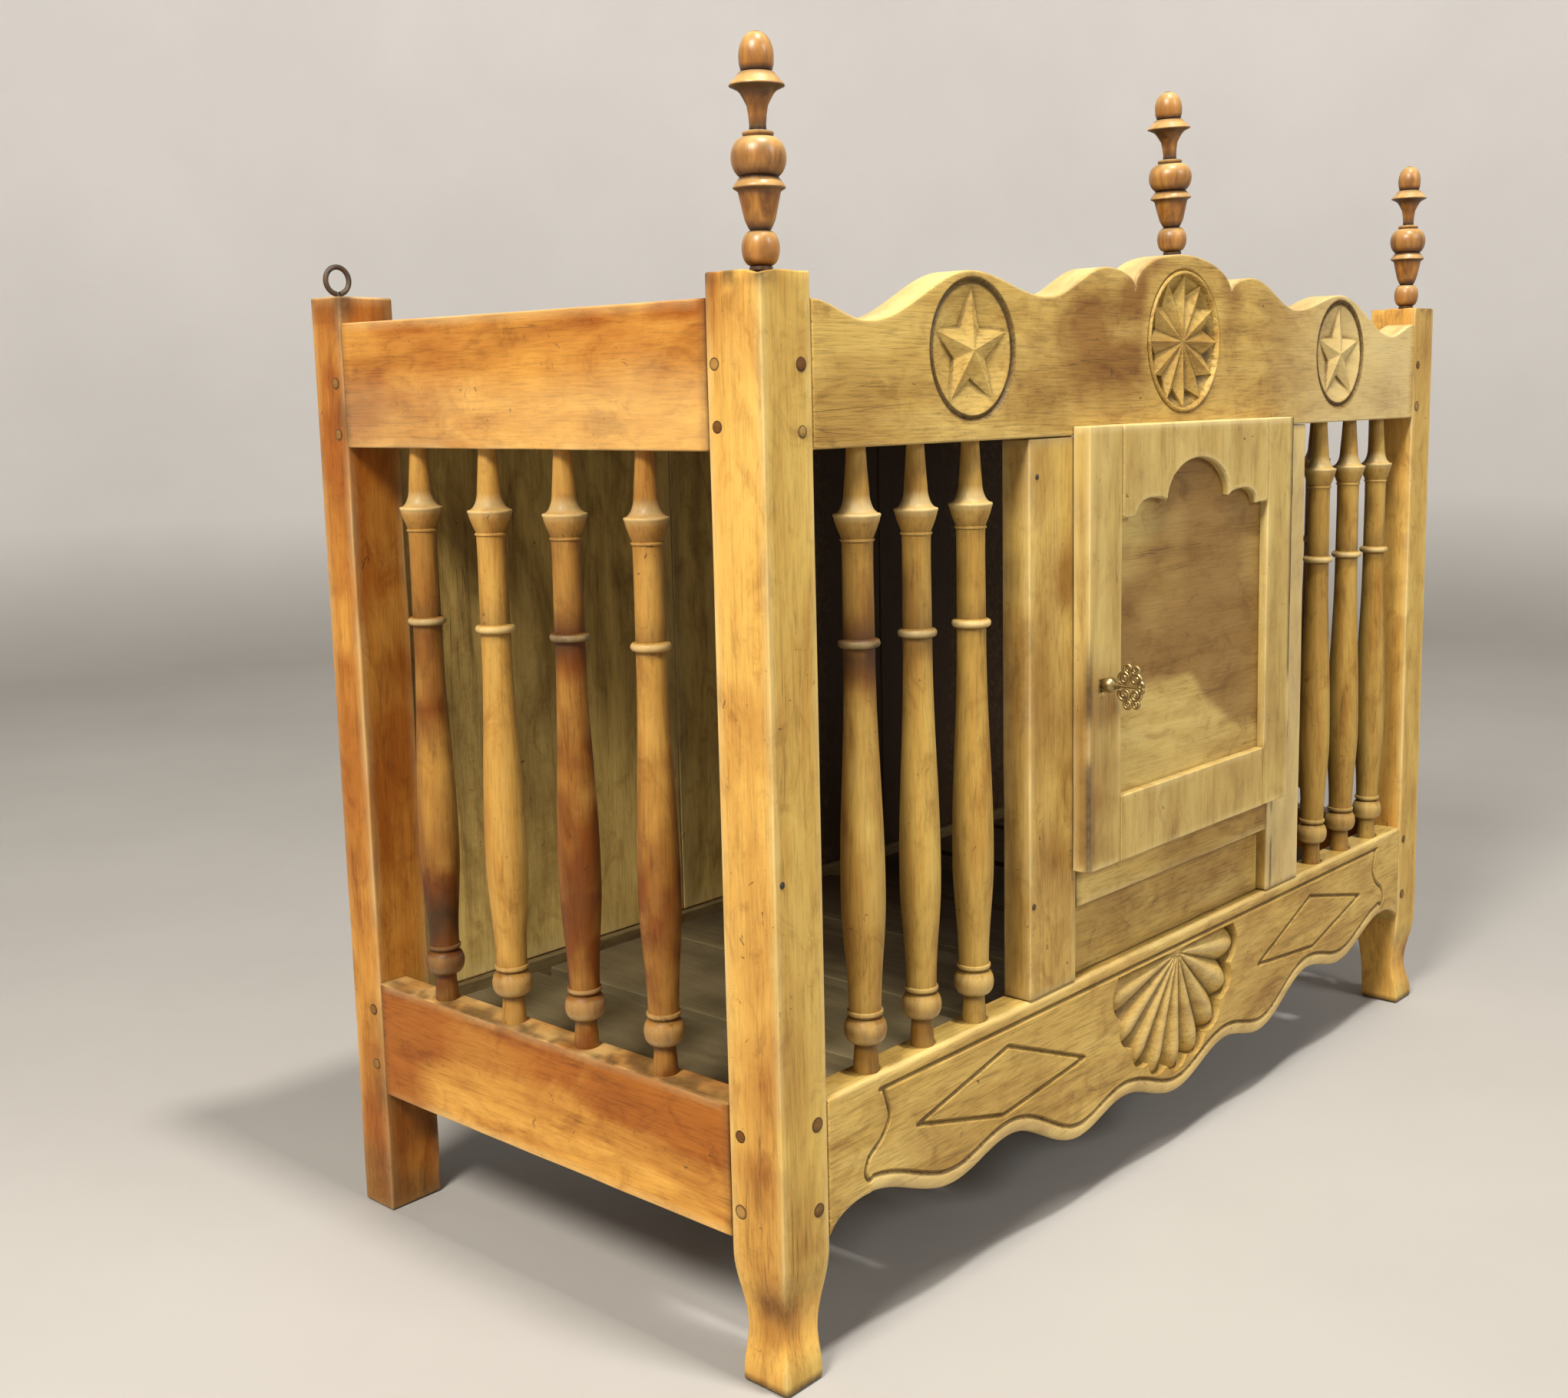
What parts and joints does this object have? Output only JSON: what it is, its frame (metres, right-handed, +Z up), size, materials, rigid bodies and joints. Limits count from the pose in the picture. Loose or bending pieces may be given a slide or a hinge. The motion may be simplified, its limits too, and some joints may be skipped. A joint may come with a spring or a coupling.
{
  "type": "bread cupboard",
  "caption": "Hanging wooden bread cupboard: a cage of turned spindles with a carved wavy crest and apron, cabriole front feet, turned finials and a locking panelled door.",
  "frame": {"origin": "centre of the overall box, key included, on the floor under the feet", "axes": "+X along the front to the right as seen from the front, +Y to the back, +Z up"},
  "size_m": [0.9854, 0.5206, 0.8684],
  "materials": {
    "frame_wood": "waxed honey walnut",
    "front_wood": "waxed, faded walnut",
    "spindle_wood": "waxed, mottled walnut",
    "finial_wood": "dark polished walnut",
    "inner_wood": "bare, darkened boards",
    "iron": "dark forged iron",
    "brass": "worn brass"
  },
  "bodies": {
    "cabinet": {"front_left_post": "frame_wood", "front_right_post": "frame_wood", "rear_left_post": "frame_wood", "rear_right_post": "frame_wood", "left_top_rail": "frame_wood", "left_bottom_rail": "frame_wood", "right_top_rail": "frame_wood", "right_bottom_rail": "frame_wood", "crest_rail": "front_wood", "apron": "front_wood", "left_mullion": "front_wood", "right_mullion": "front_wood", "door_sill": "front_wood", "lower_panel": "front_wood", "rear_top_rail": "inner_wood", "rear_bottom_rail": "inner_wood", "back_board_1": "inner_wood", "back_board_2": "inner_wood", "back_board_3": "inner_wood", "top_board_1": "inner_wood", "top_board_2": "inner_wood", "floor_slat_1": "inner_wood", "floor_slat_2": "inner_wood", "floor_slat_3": "inner_wood", "floor_slat_4": "inner_wood", "floor_slat_5": "inner_wood", "floor_slat_6": "inner_wood", "floor_slat_7": "inner_wood", "front_left_spindle_1": "spindle_wood", "front_left_spindle_2": "spindle_wood", "front_left_spindle_3": "spindle_wood", "front_right_spindle_1": "spindle_wood", "front_right_spindle_2": "spindle_wood", "front_right_spindle_3": "spindle_wood", "left_side_spindle_1": "spindle_wood", "left_side_spindle_2": "spindle_wood", "left_side_spindle_3": "spindle_wood", "left_side_spindle_4": "spindle_wood", "right_side_spindle_1": "spindle_wood", "right_side_spindle_2": "spindle_wood", "right_side_spindle_3": "spindle_wood", "right_side_spindle_4": "spindle_wood", "left_finial": "finial_wood", "centre_finial": "finial_wood", "right_finial": "finial_wood", "left_screw_eye": "iron", "right_screw_eye": "iron", "lower_hinge_frame_leaf": "iron", "upper_hinge_frame_leaf": "iron"},
    "door": {"door_lock_stile": "front_wood", "door_hinge_stile": "front_wood", "door_head_rail": "front_wood", "door_foot_rail": "front_wood", "door_panel": "front_wood", "lower_hinge_door_leaf": "iron", "upper_hinge_door_leaf": "iron", "lock_case": "iron"},
    "key": {"key": "brass"},
    "bolt": {"lock_bolt": "iron"}
  },
  "joints": [
    {"name": "door_swing", "type": "hinge", "parent": "cabinet", "child": "door", "pos_m": [0.1648, -0.21025, 0.4465], "axis": [0, 0, 1], "range_deg": [0, 110]},
    {"name": "key_turn", "type": "hinge", "parent": "door", "child": "key", "pos_m": [-0.143, -0.221, 0.422], "axis": [0, -1, 0], "range_deg": [0, 180]},
    {"name": "bolt_slide", "type": "slide", "parent": "door", "child": "bolt", "axis": [-1, 0, 0], "range_m": [0, 0.009]}
  ],
  "couplings": [
    {"joint": "bolt_slide", "follows": "key_turn", "m_per_rad": 0.002864}
  ]
}
